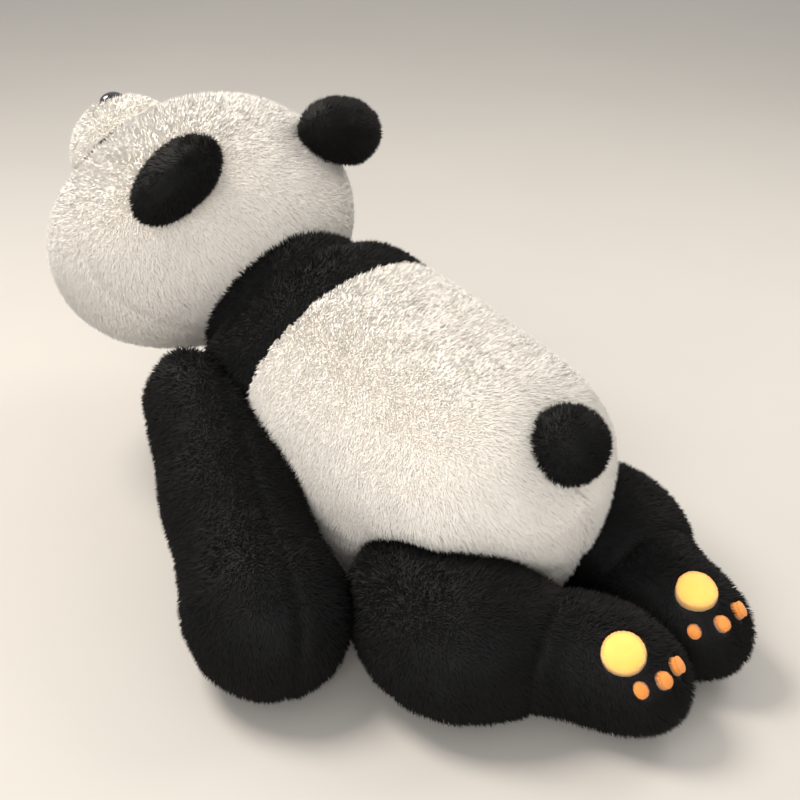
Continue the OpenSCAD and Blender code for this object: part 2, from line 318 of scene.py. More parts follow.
def loose_groups(bm):
    """The separate bits of a bmesh, each a list of its points, always found in the same order."""
    seen, groups = set(), []
    for start in bm.verts:
        if start in seen:
            continue
        group, todo = [], [start]
        seen.add(start)
        while todo:
            vert = todo.pop()
            group.append(vert)
            for edge in vert.link_edges:
                other = edge.other_vert(vert)
                if other not in seen:
                    seen.add(other)
                    todo.append(other)
        groups.append(group)
    return groups


def keep_largest(piece):
    """Drops the small loose bits that a remesh leaves inside."""
    bm = bmesh.new()
    bm.from_mesh(piece.data)
    groups = loose_groups(bm)
    groups.sort(key=lambda g: -(max(v.co.z for v in g) - min(v.co.z for v in g)))
    for group in groups[1:]:
        bmesh.ops.delete(bm, geom=group, context="VERTS")
    bmesh.ops.recalc_face_normals(bm, faces=bm.faces)
    bm.to_mesh(piece.data)
    bm.free()
    return len(groups)


def relax(mesh, rounds, shrink=0.55, grow=-0.57):
    """Taubin smoothing: rounds the facets off without wasting the volume."""
    points = vertex_array(mesh)
    ends = np.empty(len(mesh.edges) * 2, np.int64)
    mesh.edges.foreach_get("vertices", ends)
    a, b = ends.reshape(-1, 2).T
    count = np.bincount(np.concatenate([a, b]), minlength=len(points)).clip(1)[:, None]
    for _ in range(rounds):
        for step in (shrink, grow):
            total = np.empty_like(points)
            for k in range(3):
                total[:, k] = np.bincount(np.concatenate([a, b]), np.concatenate([points[b, k], points[a, k]]),
                                          len(points))
            points += step * (total / count - points)
    set_vertices(mesh, points)


def swell(piece, pressure, most):
    """Inflates the bag with the cloth solver and caps how far any point may go."""
    before = vertex_array(piece.data)
    cloth = piece.modifiers.new("stuffing", "CLOTH")
    cloth.settings.use_pressure = True
    cloth.settings.uniform_pressure_force = pressure
    cloth.settings.effector_weights.gravity = 0
    cloth.settings.tension_stiffness = cloth.settings.compression_stiffness = 12
    cloth.settings.bending_stiffness = 0.4
    scene = bpy.context.scene
    for step in range(1, SWELL_FRAMES + 1):
        scene.frame_set(step)
    after = evaluated_mesh(piece)
    moved = vertex_array(after) - before
    piece.modifiers.clear()
    scene.frame_set(1)
    bpy.data.meshes.remove(after)
    reach = np.linalg.norm(moved, axis=1, keepdims=True)
    set_vertices(piece.data, before + moved * np.minimum(1, most / reach.clip(1e-9)))
    return float(reach.mean())


def stuffed_skin(name, nodes, voxel, rounds, pressure=4.0, most=0.004):
    bm = joined(nodes)
    mesh = bpy.data.meshes.new(name)
    bm.to_mesh(mesh)
    bm.free()
    piece = bpy.data.objects.new(name, mesh)
    bpy.context.scene.collection.objects.link(piece)
    remesh = piece.modifiers.new("even net", "REMESH")
    remesh.mode, remesh.voxel_size = "VOXEL", voxel
    bake_modifiers(piece)
    bits = keep_largest(piece)
    relax(piece.data, rounds)
    travel = swell(piece, pressure, most)
    finer = piece.modifiers.new("finer", "SUBSURF")
    finer.levels = finer.render_levels = 1
    bake_modifiers(piece)
    points = vertex_array(piece.data)
    points[:, 2] = points[:, 2].clip(0)
    set_vertices(piece.data, points)
    for polygon in piece.data.polygons:
        polygon.use_smooth = True
    print(f"{name}: {len(piece.data.polygons)} faces, {bits} bits, mean travel {travel * 1000:.1f} mm")
    return piece


# %% Make the skins
skin_plan = {
    "body_skin": (["yoke_panel", "back_panel", "belly_panel", "body_stuffing"], 0.009, 14),
    "head_skin": (["head_face_panel", "head_back_panel", "head_stuffing"], 0.009, 14),
    "muzzle_skin": (["muzzle_panel", "muzzle_stuffing"], 0.005, 8),
    "neck_skin": (["neck_roll"], 0.006, 5),
    "tail_skin": (["tail_cover", "tail_stuffing"], 0.004, 4),
    "ear_skin_left": (["ear_left", "ear_stuffing_left"], 0.003, 8),
    "ear_skin_right": (["ear_right", "ear_stuffing_right"], 0.003, 8),
    "arm_skin_left": (["arm_outer_left", "arm_inner_left", "arm_stuffing_left"], 0.007, 16),
    "arm_skin_right": (["arm_outer_right", "arm_inner_right", "arm_stuffing_right"], 0.007, 16),
    "leg_skin_left": (["leg_panel_left", "foot_panel_left", "leg_stuffing_left"], 0.007, 16),
    "leg_skin_right": (["leg_panel_right", "foot_panel_right", "leg_stuffing_right"], 0.007, 16),
}
skins = {name: stuffed_skin(name, *plan) for name, plan in skin_plan.items()}

# %% [markdown]
# ## Which cloth each face is cut from
# A skin is one net, yet the real bag is several pieces of plush sewn edge to edge. Each face asks which CAD panel
# is nearest, and keeps that panel's number; the backing colour follows, and later so does the pile. The nap has a
# lie as well: on a toy it is combed from the head to the tail, and along each limb towards the paw.

# %% Sort the faces by panel and comb the nap
PATCH_REACH = 0.0045  # a face this near to a patch or a fitting belongs to it


def panel_trees(panels):
    trees = []
    for panel in panels:
        points, corners = cad_triangles(panel)
        trees.append(BVHTree.FromPolygons(points.tolist(), corners.tolist()))
    return trees


def sort_faces(skin, panels, patches, bare):
    """Numbers each face by its panel; patches come after the panels, and -1 means that nothing grows there."""
    trees = panel_trees(panels)
    covers = [(len(panels) + k, tree) for k, tree in enumerate(panel_trees(patches))]
    covers += [(-1, tree) for tree in panel_trees(bare)]
    owner = np.zeros(len(skin.data.polygons), np.int32)
    for polygon in skin.data.polygons:
        if len(panels) > 1:
            owner[polygon.index] = min(range(len(trees)), key=lambda k: trees[k].find_nearest(polygon.center)[3])
        for number, tree in covers:
            if tree.find_nearest(polygon.center, PATCH_REACH)[0] is not None:
                owner[polygon.index] = number
    skin.data.attributes.new("panel", "INT", "FACE").data.foreach_set("value", owner)
    return owner


def press_seams(skin, owner, panels, depth, width):
    """Draws the skin in along the lines where two panels are sewn together."""
    mesh = skin.data
    rows = [set() for _ in mesh.vertices]
    for polygon in mesh.polygons:
        if 0 <= owner[polygon.index] < panels:
            for v in polygon.vertices:
                rows[v].add(int(owner[polygon.index]))
    on_seam = [k for k, row in enumerate(rows) if len(row) > 1]
    if not on_seam:
        return 0
    points = vertex_array(mesh)
    lookup = KDTree(len(on_seam))
    for k in on_seam:
        lookup.insert(points[k], k)
    lookup.balance()
    normals = np.empty(len(points) * 3, np.float32)
    mesh.vertex_normals.foreach_get("vector", normals)
    away = np.array([lookup.find(p)[2] for p in points])
    set_vertices(mesh, points - (depth * np.exp(-(away / width) ** 2))[:, None] * normals.reshape(-1, 3))
    return len(on_seam)


def comb_skin(skin, lie, fall):
    """Stores the direction the nap lies in: lie(points) gives it, fall adds a pull towards the floor."""
    mesh = skin.data
    points = vertex_array(mesh)
    normals = np.empty(len(points) * 3, np.float32)
    mesh.vertex_normals.foreach_get("vector", normals)
    normals = normals.reshape(-1, 3)
    flow = lie(points) + np.array([0, 0, -fall])
    flow = flow - (flow * normals).sum(1, keepdims=True) * normals
    flow /= np.linalg.norm(flow, axis=1, keepdims=True).clip(0.25)
    mesh.attributes.new("comb", "FLOAT_VECTOR", "POINT").data.foreach_set("vector", flow.astype(np.float32).ravel())


def towards(*direction):
    return lambda points: np.broadcast_to(np.array(direction, float), points.shape)


def along_line(*stops):
    """The lie follows a line of points, as on a bent limb."""
    stops = np.array(stops, float)
    steps = stops[1:] - stops[:-1]
    centres = (stops[1:] + stops[:-1]) / 2
    unit = steps / np.linalg.norm(steps, axis=1, keepdims=True)

    def lie(points):
        near = 1 / (np.linalg.norm(points[:, None] - centres[None], axis=2) ** 4 + 1e-6)
        flow = (near[:, :, None] * unit[None]).sum(1)
        return flow / np.linalg.norm(flow, axis=1, keepdims=True)
    return lie


def spread_from(x, y, z):
    return lambda points: (points - np.array([x, y, z])) * 8


# skin: its panels and patches, their colours, the body it rides on, the lie of its nap, the pull down
cut_plan = {
    "body_skin": (("yoke_panel", "back_panel", "belly_panel"), "kww", "body", towards(0, 1, -0.1), 0.35),
    "head_skin": (("head_face_panel", "head_back_panel", "eye_patch_left", "eye_patch_right"), "wwkk", "head",
                  towards(0, 1, -0.3), 0.25),
    "muzzle_skin": (("muzzle_panel",), "w", "head", towards(0, 1, -0.6), 0.1),
    "neck_skin": (("neck_roll",), "k", "neck", towards(0, 0.9, -0.4), 0.2),
    "tail_skin": (("tail_cover",), "k", "tail", spread_from(0, 0.22, 0.2), 0.0),
    "ear_skin_left": (("ear_left",), "k", "ear_l", towards(0.9, 0, -0.3), 0.0),
    "ear_skin_right": (("ear_right",), "k", "ear_r", towards(-0.9, 0, -0.3), 0.0),
    "arm_skin_left": (("arm_outer_left", "arm_inner_left"), "kk", "arm_l",
                      along_line((0.15, -0.11, 0.18), (0.196, -0.014, 0.118), (0.23, 0.086, 0.068)), 0.3),
    "arm_skin_right": (("arm_outer_right", "arm_inner_right"), "kk", "arm_r",
                       along_line((-0.15, -0.11, 0.18), (-0.194, -0.198, 0.108), (-0.226, -0.318, 0.068)), 0.3),
    "leg_skin_left": (("leg_panel_left", "foot_panel_left"), "kk", "leg_l", towards(-0.1, 1, 0), 0.4),
    "leg_skin_right": (("leg_panel_right", "foot_panel_right"), "kk", "leg_r", towards(0.1, 1, 0), 0.4),
}
bare_plan = {
    "head_skin": ("eye_left", "eye_right", "neck_roll"), "muzzle_skin": ("nose", "mouth_stitch"),
    "leg_skin_left": ("sole_pad_left", "toe_pads_left"), "leg_skin_right": ("sole_pad_right", "toe_pads_right"),
}
for name, (panels, colours, body, lie, fall) in cut_plan.items():
    skin = skins[name]
    cut = [panel for panel in panels if "patch" not in panel]
    owner = sort_faces(skin, cut, panels[len(cut):], bare_plan.get(name, ()))
    seam = press_seams(skin, owner, len(cut), 0.003, 0.006)
    comb_skin(skin, lie, fall)
    skin.data.materials.clear()
    for material in (white_backing, black_backing):
        skin.data.materials.append(material)
    black = np.array([colour == "k" for colour in colours] + [colours[0] == "k"])[owner].astype(np.int32)
    skin.data.polygons.foreach_set("material_index", black)
    area = sum(polygon.area for polygon in skin.data.polygons)
    print(f"{name}: {np.bincount(owner + 1).tolist()} faces, bare and by panel, {seam} seam points, {area:.3f} m2")

# %% [markdown]
# ## The pile
# Pile is tens of thousands of fibres, each rooted in the cloth, so it is grown with Geometry Nodes. Points are
# scattered over the faces of one panel, a three-sided cone stands on each, and its direction mixes the cloth's
# normal, the lie of the nap and a cloudy noise that gathers neighbours into tufts. A cone has only three faces,
# because it is repeated so often.

# %% Grow strands with Geometry Nodes
def geometry_tree(name, inputs):
    """A Geometry Nodes tree with named inputs: returns it, its group input and the identifier of each input."""
    group = bpy.data.node_groups.new(name, "GeometryNodeTree")
    group.interface.new_socket("Geometry", in_out="INPUT", socket_type="NodeSocketGeometry")
    ids = {label: group.interface.new_socket(label, in_out="INPUT", socket_type="NodeSocket" + kind).identifier
           for label, kind in inputs.items()}
    group.interface.new_socket("Geometry", in_out="OUTPUT", socket_type="NodeSocketGeometry")
    tree = Tree(group)
    return tree, tree.add("NodeGroupInput"), ids


def close_tree(tree, geometry, material):
    real = tree.add("GeometryNodeRealizeInstances", {}, [geometry])
    dressed = tree.add("GeometryNodeSetMaterial", {}, {"Geometry": real, "Material": material})
    tree.add("NodeGroupOutput", {}, [dressed], out=None)


def pile_tree():
    tree, given, ids = geometry_tree("grow pile", {"Panel": "Int", "Side": "Float", "Density": "Float",
                                                   "Length": "Float", "Width": "Float", "Stand": "Float",
                                                   "Lean": "Float", "Tuft": "Float", "Seed": "Int",
                                                   "Material": "Material"})
    number = tree.add("GeometryNodeInputNamedAttribute", {"data_type": "INT"}, {"Name": "panel"})
    chosen = tree.add("FunctionNodeCompare", {"data_type": "INT", "operation": "EQUAL"},
                      {"A": number, "B": given.out("Panel")})
    across = tree.add("ShaderNodeSeparateXYZ", {}, [tree.add("GeometryNodeInputPosition")]).out("X")
    wanted = tree.add("FunctionNodeCompare", {"data_type": "FLOAT", "operation": "GREATER_EQUAL"},
                      {"A": across * given.out("Side"), "B": 0.0})
    chosen = tree.add("FunctionNodeBooleanMath", {"operation": "AND"}, [chosen, wanted])
    points = tree.add("GeometryNodeDistributePointsOnFaces", {"distribute_method": "RANDOM"},
                      {"Mesh": given, "Selection": chosen, "Density": given.out("Density"),
                       "Seed": given.out("Seed")})
    normal = points.out("Normal")
    comb = tree.add("GeometryNodeInputNamedAttribute", {"data_type": "FLOAT_VECTOR"}, {"Name": "comb"})
    place = tree.add("GeometryNodeInputPosition")
    wide = tree.add("ShaderNodeTexNoise", {}, {"Vector": place, "Scale": 55.0, "Detail": 2.0}).out("Color")
    fine = tree.add("ShaderNodeTexNoise", {}, {"Vector": place, "Scale": 210.0, "Detail": 2.0}).out("Color")
    stray = tree.add("FunctionNodeRandomValue", {"data_type": "FLOAT_VECTOR"},
                     {"Min": (-1.0, -1.0, -1.0), "Max": (1.0, 1.0, 1.0), "Seed": given.out("Seed")})
    half = (0.5, 0.5, 0.5)
    drift = tree.vectors("ADD", tree.vectors("SUBTRACT", wide, half),
                         tree.vectors("MULTIPLY", tree.vectors("SUBTRACT", fine, half), (1.3, 1.3, 1.3)))
    flow = tree.vectors("ADD", tree.scaled(normal, given.out("Stand")), tree.scaled(comb, given.out("Lean")))
    flow = tree.vectors("ADD", flow, tree.scaled(drift, given.out("Tuft")))
    flow = tree.vectors("ADD", flow, tree.scaled(stray, 0.16))
    turn = tree.add("FunctionNodeAlignRotationToVector", {"axis": "Z"}, {"Vector": flow})
    spin = tree.add("FunctionNodeRandomValue", {"data_type": "FLOAT"}, {"Max": 6.283, "Seed": 5})
    turn = tree.add("FunctionNodeRotateRotation", {"rotation_space": "LOCAL"},
                    [turn, tree.add("ShaderNodeCombineXYZ", {}, {"Z": spin})])
    tone = tree.add("FunctionNodeRandomValue", {"data_type": "FLOAT"}, {"Seed": 9})
    tall = given.out("Length") * (tone * 0.45 + 0.72)
    broad = given.out("Width") * tree.add("FunctionNodeRandomValue", {"data_type": "FLOAT"},
                                          {"Min": 0.7, "Max": 1.25, "Seed": 11})
    size = tree.add("ShaderNodeCombineXYZ", {}, [broad, broad, tall])
    cone = tree.add("GeometryNodeMeshCone", {"fill_type": "NONE"},
                    {"Vertices": 3, "Side Segments": 1, "Radius Top": 0.0, "Radius Bottom": 0.5, "Depth": 1.0},
                    out="Mesh")
    points = tree.keep(points, "tone", "FLOAT", tone)
    points = tree.keep(points, "skin_normal", "FLOAT_VECTOR", normal)
    grown = tree.add("GeometryNodeInstanceOnPoints", {},
                     {"Points": points, "Instance": cone, "Rotation": turn, "Scale": size})
    close_tree(tree, grown, given.out("Material"))
    return tree.tree, ids


def grow(host, group, ids, values):
    """Runs a tree on a host once and returns the plain mesh it makes."""
    modifier = host.modifiers.new("grow", "NODES")
    modifier.node_group = group
    for label, value in values.items():
        modifier[ids[label]] = value
    mesh = evaluated_mesh(host)
    host.modifiers.remove(modifier)
    return mesh


pile_group, pile_ids = pile_tree()
print("pile tree:", len(pile_group.nodes), "nodes")

# %% [markdown]
# ## Finishing a pile
# Two things make cones look like fibre. Their shading normals lean towards the cloth's own normal, so a tuft is
# lit as one soft body. And each cone's map is laid out: a column for its tone, from root to tip.

# %% Turn grown strands into pieces
LOWEST_STRAND = 0.0006  # no strand goes below this height above the floor
SKIN_SHARE = 0.72  # how far a strand's shading normal leans towards the cloth's


def lay_strand_map(mesh, columns=32):
    corner = np.empty(len(mesh.loops), np.int32)
    mesh.loops.foreach_get("vertex_index", corner)
    tone = np.empty(len(mesh.vertices), np.float32)
    mesh.attributes["tone"].data.foreach_get("value", tone)
    tip = np.arange(len(mesh.vertices)) % 4 == tip_index(mesh)
    column = np.floor(tone[corner].clip(0, 0.999) * columns)
    tri = corner.reshape(-1, 3)
    side = np.zeros(tri.shape, np.float32)
    at_tip = tip[tri]
    side[~at_tip] = np.tile([0.04, 0.96], len(tri))
    side[at_tip] = 0.5
    uv = np.empty((len(corner), 2), np.float32)
    uv[:, 0] = (column + side.ravel()) / columns
    uv[:, 1] = np.where(at_tip, 0.99, 0.01).ravel()
    layer = mesh.uv_layers.get("OFBake") or mesh.uv_layers.new(name="OFBake")
    layer.data.foreach_set("uv", uv.ravel())


def tip_index(mesh):
    """Which of a cone's four points is its tip: the one that all three faces use."""
    first = [v for polygon in mesh.polygons[:3] for v in polygon.vertices]
    return max(set(first), key=first.count)


def soften_normals(mesh, share):
    skin = np.empty(len(mesh.vertices) * 3, np.float32)
    mesh.attributes["skin_normal"].data.foreach_get("vector", skin)
    own = np.empty(len(mesh.vertices) * 3, np.float32)
    mesh.vertex_normals.foreach_get("vector", own)
    mixed = skin.reshape(-1, 3) * share + own.reshape(-1, 3) * (1 - share)
    mixed /= np.linalg.norm(mixed, axis=1, keepdims=True).clip(1e-6)
    mesh.polygons.foreach_set("use_smooth", np.ones(len(mesh.polygons), bool))
    mesh.normals_split_custom_set_from_vertices(mixed.tolist())


def pile_piece(name, host, body, slot, values):
    mesh = grow(host, pile_group, pile_ids, values)
    mesh.name = name
    points = vertex_array(mesh)
    points[:, 2] = np.maximum(points[:, 2], LOWEST_STRAND)
    set_vertices(mesh, points)
    lay_strand_map(mesh)
    soften_normals(mesh, SKIN_SHARE)
    for spare in ("tone", "skin_normal", "comb", "panel"):
        if spare in mesh.attributes:
            mesh.attributes.remove(mesh.attributes[spare])
    while len(mesh.uv_layers) > 1:
        mesh.uv_layers.remove(next(layer for layer in mesh.uv_layers if layer.name != "OFBake"))
    piece = bpy.data.objects.new(name, mesh)
    bpy.context.scene.collection.objects.link(piece)
    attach(piece, body)
    return len(mesh.polygons)


white_coat = {"Density": 460e3, "Length": 0.0096, "Width": 0.0018, "Stand": 0.9, "Lean": 0.55, "Tuft": 0.65,
              "Material": white_pile}
black_coat = {"Density": 340e3, "Length": 0.0096, "Width": 0.0018, "Stand": 0.8, "Lean": 0.5, "Tuft": 1.0,
              "Material": black_pile}
# Thinner where the toy hides it, finer and tighter on the small parts: factors on the coat
changes = {"belly_panel": {"Density": 0.4}, "neck_roll": {"Density": 0.7},
           "muzzle_panel": {"Length": 0.7, "Density": 1.1}, "tail_cover": {"Density": 1.3, "Length": 0.8},
           "arm_inner_left": {"Density": 0.8}, "arm_inner_right": {"Density": 0.7},
           "eye_patch_left": {"Length": 1.15}, "eye_patch_right": {"Length": 1.15},
           "ear_left": {"Density": 1.3, "Length": 0.85}, "ear_right": {"Density": 1.3, "Length": 0.85}}
in_halves = ("back_panel", "head_face_panel")
share = 1.0
total = 0
for name, (panels, colours, body, lie, fall) in cut_plan.items():
    for number, (panel, colour) in enumerate(zip(panels, colours)):
        coat = dict(white_coat if colour == "w" else black_coat, Panel=number, Seed=11 + 7 * number)
        coat["Density"] *= share
        for label, factor in changes.get(panel, {}).items():
            coat[label] *= factor
        sides = (("_left", 1.0), ("_right", -1.0)) if panel in in_halves else (("", 0.0),)
        for side, coat["Side"] in sides:
            count = pile_piece("pile_" + panel.replace("_panel", "") + side, skins[name], body,
                               "white_plush" if colour == "w" else "black_plush", coat)
            total += count
            print(f"pile on {panel}{side}: {count} faces")
print("strand faces in all:", total)

# %% Hand the skins over to the bodies
for name, (panels, colours, body, lie, fall) in cut_plan.items():
    skin = skins[name]
    for spare in ("comb", "panel"):
        skin.data.attributes.remove(skin.data.attributes[spare])
    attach(skin, body)
    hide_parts(*skin_plan[name][0])
    "white_plush" if colours[0] == "w" else "black_plush"
print("skins placed:", len(cut_plan))

# %% [markdown]
# ## Felt pads with a satin-stitched rim
# Each sole carries a rounded felt pad and three toes, held by a dense satin stitch round the rim. The CAD has
# them as thin flat patches that follow the foot. Here each becomes a crowned disc: its own outline is sampled
# from the CAD patch, and rings from the middle to the rim rise and fall again. The fur is parted under them.

# %% Build crowned pads from the CAD patches
def islands(node):
    """The separate solids of a CAD node, each as an array of its points."""
    bm = joined([node])
    found = [np.array([vert.co for vert in group]) for group in loose_groups(bm)]
    bm.free()
    return found


def patch_frame(points):
    """Centre, outward normal and two in-plane directions of a thin patch."""
    centre = points.mean(0)
    _, _, axes = np.linalg.svd(points - centre)
    return centre, axes[2], axes[0], axes[1]


def outline(points, centre, u, v, count):
    """Farthest reach of the patch from its centre, in count directions."""
    flat = np.stack([(points - centre) @ u, (points - centre) @ v], 1)
    angles = np.arange(count) * 2 * math.pi / count
    reach = [(flat @ np.array([math.cos(a), math.sin(a)])).max() for a in angles]
    return angles, np.array(reach)


def pad_piece(name, node, foot, rings, count, crown, lift, material):
    """Crowned discs lying on the foot skin, one for each patch of the node; returns the piece and its rims."""
    tree = BVHTree.FromObject(foot, bpy.context.evaluated_depsgraph_get())
    centre_of_foot = Vector(vertex_array(foot.data).mean(0))
    verts, faces, rims = [], [], []
    for points in islands(node):
        centre, normal, u, v = patch_frame(points)
        near, skin_normal, _, _ = tree.find_nearest(Vector(centre))
        normal = np.array(skin_normal)
        u = u - (u @ normal) * normal
        u /= np.linalg.norm(u)
        v = np.cross(normal, u)
        angles, reach = outline(points, centre, u, v, count)
        start, rim = len(verts), []
        for ring in range(rings + 1):
            share = ring / rings
            height = lift * (1 if share < 0.97 else 0.2) + crown * (1 - share ** 2.2)
            for a, r in zip(angles, reach):
                target = centre + share * r * (math.cos(a) * u + math.sin(a) * v)
                hit, at_normal, _, _ = tree.ray_cast(Vector(target + 0.05 * normal), Vector(-normal))
                if hit is None:
                    hit, at_normal, _, _ = tree.find_nearest(Vector(target))
                place = hit + Vector(normal) * height
                verts.append(place)
                if ring == rings - 1:
                    rim.append((hit + Vector(normal) * (lift + 0.0004), at_normal))
                if ring == 0:
                    break
        rows = [start] + [start + 1 + count * k for k in range(rings)]
        for k in range(count):
            nxt = (k + 1) % count
            faces.append((start, rows[1] + k, rows[1] + nxt))
            for ring in range(1, rings):
                faces.append((rows[ring] + k, rows[ring + 1] + k, rows[ring + 1] + nxt, rows[ring] + nxt))
        under = [rows[rings] + k for k in range(count)]
        faces.append(tuple(reversed(under)))
        rims.append(rim)
    piece = make_object(name, verts, faces, material)
    for polygon in piece.data.polygons:
        polygon.use_smooth = len(polygon.vertices) < 5
    return piece, rims


# %% Felt and thread finishes
def felt(name, deep, pale):
    def build(tree):
        where = spot(tree)
        cloud = noise(tree, where, 90, 4)
        fibre = noise(tree, where, 1500, 2, 0.7)
        colour = tree.mix(cloud, deep, pale)
        bump = tree.add("ShaderNodeBump", {}, {"Strength": 0.35, "Distance": 0.0006, "Height": fibre + cloud * 0.5})
        return {"Base Color": colour, "Normal": bump}
    return finish_material(name, build, Roughness=0.9, Sheen_Weight=0.2)


def thread(name, deep, pale, roughness=0.45):
    def build(tree):
        where = spot(tree)
        tone = noise(tree, where, 400, 2)
        ply = tree.add("ShaderNodeTexWave", {"wave_type": "BANDS", "bands_direction": "DIAGONAL"},
                       {"Vector": where, "Scale": 900.0, "Distortion": 1.0})
        bump = tree.add("ShaderNodeBump", {}, {"Strength": 0.3, "Distance": 0.0002, "Height": ply})
        return {"Base Color": tree.mix(tone, deep, pale), "Normal": bump}
    return finish_material(name, build, Roughness=roughness)


yellow_felt = felt("yellow felt", (0.86, 0.46, 0.08), (0.95, 0.58, 0.14))
orange_felt = felt("orange toe felt", (0.62, 0.20, 0.03), (0.78, 0.30, 0.06))
yellow_thread = thread("yellow satin thread", (0.78, 0.36, 0.08), (0.95, 0.56, 0.20))
orange_thread = thread("orange satin thread", (0.55, 0.18, 0.03), (0.75, 0.30, 0.07))
black_thread = thread("black thread", (0.006, 0.006, 0.007), (0.03, 0.03, 0.032))

# %% [markdown]
# ## Satin stitches
# A satin stitch is a close row of short threads laid side by side across an edge. The rim of a pad becomes a
# closed path with the cloth's normal stored on its points. Geometry Nodes space points along it and lay one
# small rounded thread across the rim at each.

# %% Stitch tree
def stitch_tree():
    tree, given, ids = geometry_tree("satin stitch", {"Spacing": "Float", "Reach": "Float", "Thread": "Float",
                                                      "Material": "Material"})
    curve = tree.add("GeometryNodeMeshToCurve", {}, [given])
    up = tree.add("GeometryNodeInputNamedAttribute", {"data_type": "FLOAT_VECTOR"}, {"Name": "up"})
    out = tree.add("GeometryNodeInputNamedAttribute", {"data_type": "FLOAT_VECTOR"}, {"Name": "out"})
    spaced = tree.add("GeometryNodeResampleCurve", {"mode": "LENGTH"},
                      {"Curve": curve, "Length": given.out("Spacing")})
    points = tree.add("GeometryNodeCurveToPoints", {"mode": "EVALUATED"}, [spaced])
    jitter = tree.add("FunctionNodeRandomValue", {"data_type": "FLOAT"}, {"Min": 0.85, "Max": 1.15, "Seed": 3})
    turn = tree.add("FunctionNodeAlignRotationToVector", {"axis": "Z"}, {"Vector": out})
    turn = tree.add("FunctionNodeAlignRotationToVector", {"axis": "X", "pivot_axis": "Z"},
                    {"Rotation": turn, "Vector": up})
    bead = tree.add("GeometryNodeMeshUVSphere", {}, {"Segments": 6, "Rings": 5, "Radius": 0.5}, out="Mesh")
    size = tree.add("ShaderNodeCombineXYZ", {}, [given.out("Thread"), given.out("Thread"),
                                                 given.out("Reach") * jitter])
    laid = tree.add("GeometryNodeInstanceOnPoints", {}, {"Points": points, "Instance": bead, "Rotation": turn,
                                                         "Scale": size})
    close_tree(tree, laid, given.out("Material"))
    return tree.tree, ids


stitch_group, stitch_ids = stitch_tree()


def stitched_rims(name, rims, spacing, reach, thickness, material, closed=True):
    """Satin stitches along closed rims of (point, normal), or open rows of (point, normal, across)."""
    verts, edges, ups, outs = [], [], [], []
    for rim in rims:
        start = len(verts)
        middle = sum((row[0] for row in rim), Vector()) / len(rim)
        for k, (p, n, *across) in enumerate(rim):
            verts.append(p)
            ups.append(n)
            outs.append(across[0] if across else ((p - middle) - (p - middle).dot(n) * n).normalized())
            if closed or k + 1 < len(rim):
                edges.append((start + k, start + (k + 1) % len(rim)))
    mesh = bpy.data.meshes.new(name)
    mesh.from_pydata(verts, edges, [])
    for label, values in (("up", ups), ("out", outs)):
        flat = np.array([tuple(v) for v in values], np.float32).ravel()
        mesh.attributes.new(label, "FLOAT_VECTOR", "POINT").data.foreach_set("vector", flat)
    host = bpy.data.objects.new(name, mesh)
    bpy.context.scene.collection.objects.link(host)
    grown = grow(host, stitch_group, stitch_ids, {"Spacing": spacing, "Reach": reach, "Thread": thickness,
                                                  "Material": material})
    host.data = grown
    bpy.data.meshes.remove(mesh)
    grown.name = name
    for spare in ("up", "out"):
        if spare in grown.attributes:
            grown.attributes.remove(grown.attributes[spare])
    for polygon in grown.polygons:
        polygon.use_smooth = True
    return host


# %% Pads, toes and their stitches
for side, body in (("left", "leg_l"), ("right", "leg_r")):
    foot = skins["leg_skin_" + side]
    pad, rims = pad_piece("sole_felt_" + side, "sole_pad_" + side, foot, 8, 48, 0.0022, 0.0075, yellow_felt)
    border = stitched_rims("sole_stitches_" + side, rims, 0.0009, 0.0042, 0.0011, yellow_thread)
    toes, toe_rims = pad_piece("toe_felt_" + side, "toe_pads_" + side, foot, 4, 24, 0.0014, 0.0075, orange_felt)
    toe_border = stitched_rims("toe_stitches_" + side, toe_rims, 0.0009, 0.0026, 0.0010, orange_thread)
    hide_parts("sole_pad_" + side)
    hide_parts("toe_pads_" + side)
    for piece, slot in ((pad, "yellow_felt"), (border, "yellow_felt"), (toes, "orange_felt"),
                        (toe_border, "orange_felt")):
        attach(piece, body)
    print(side, "pad faces", len(pad.data.polygons), "stitch faces", len(border.data.polygons))

# %% [markdown]
# ## Eye patches
# Around each eye a black plush patch is laid on the white face. Its pile already grows from the head; here its
# cloth is added, a thin crowned disc like a pad but black, so that no white shows between the black strands.

# %% Eye patch cloth
for side in ("left", "right"):
    cloth, _ = pad_piece("eye_patch_cloth_" + side, "eye_patch_" + side, skins["head_skin"], 6, 36, 0.0006, 0.0014,
                         black_backing)
    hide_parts("eye_patch_" + side)
    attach(cloth, "head")
print("eye patches laid")

# %% [markdown]
# ## Nose and eyes
# The nose is one moulded glossy piece: a soft triangle, wide above and narrow below, with two shallow nostrils.
# It starts as a fine ball and every point is moved by a rule, inside the box that the CAD nose takes. The eyes
# are plain round beads made by the same rule with the nose's own features left out.

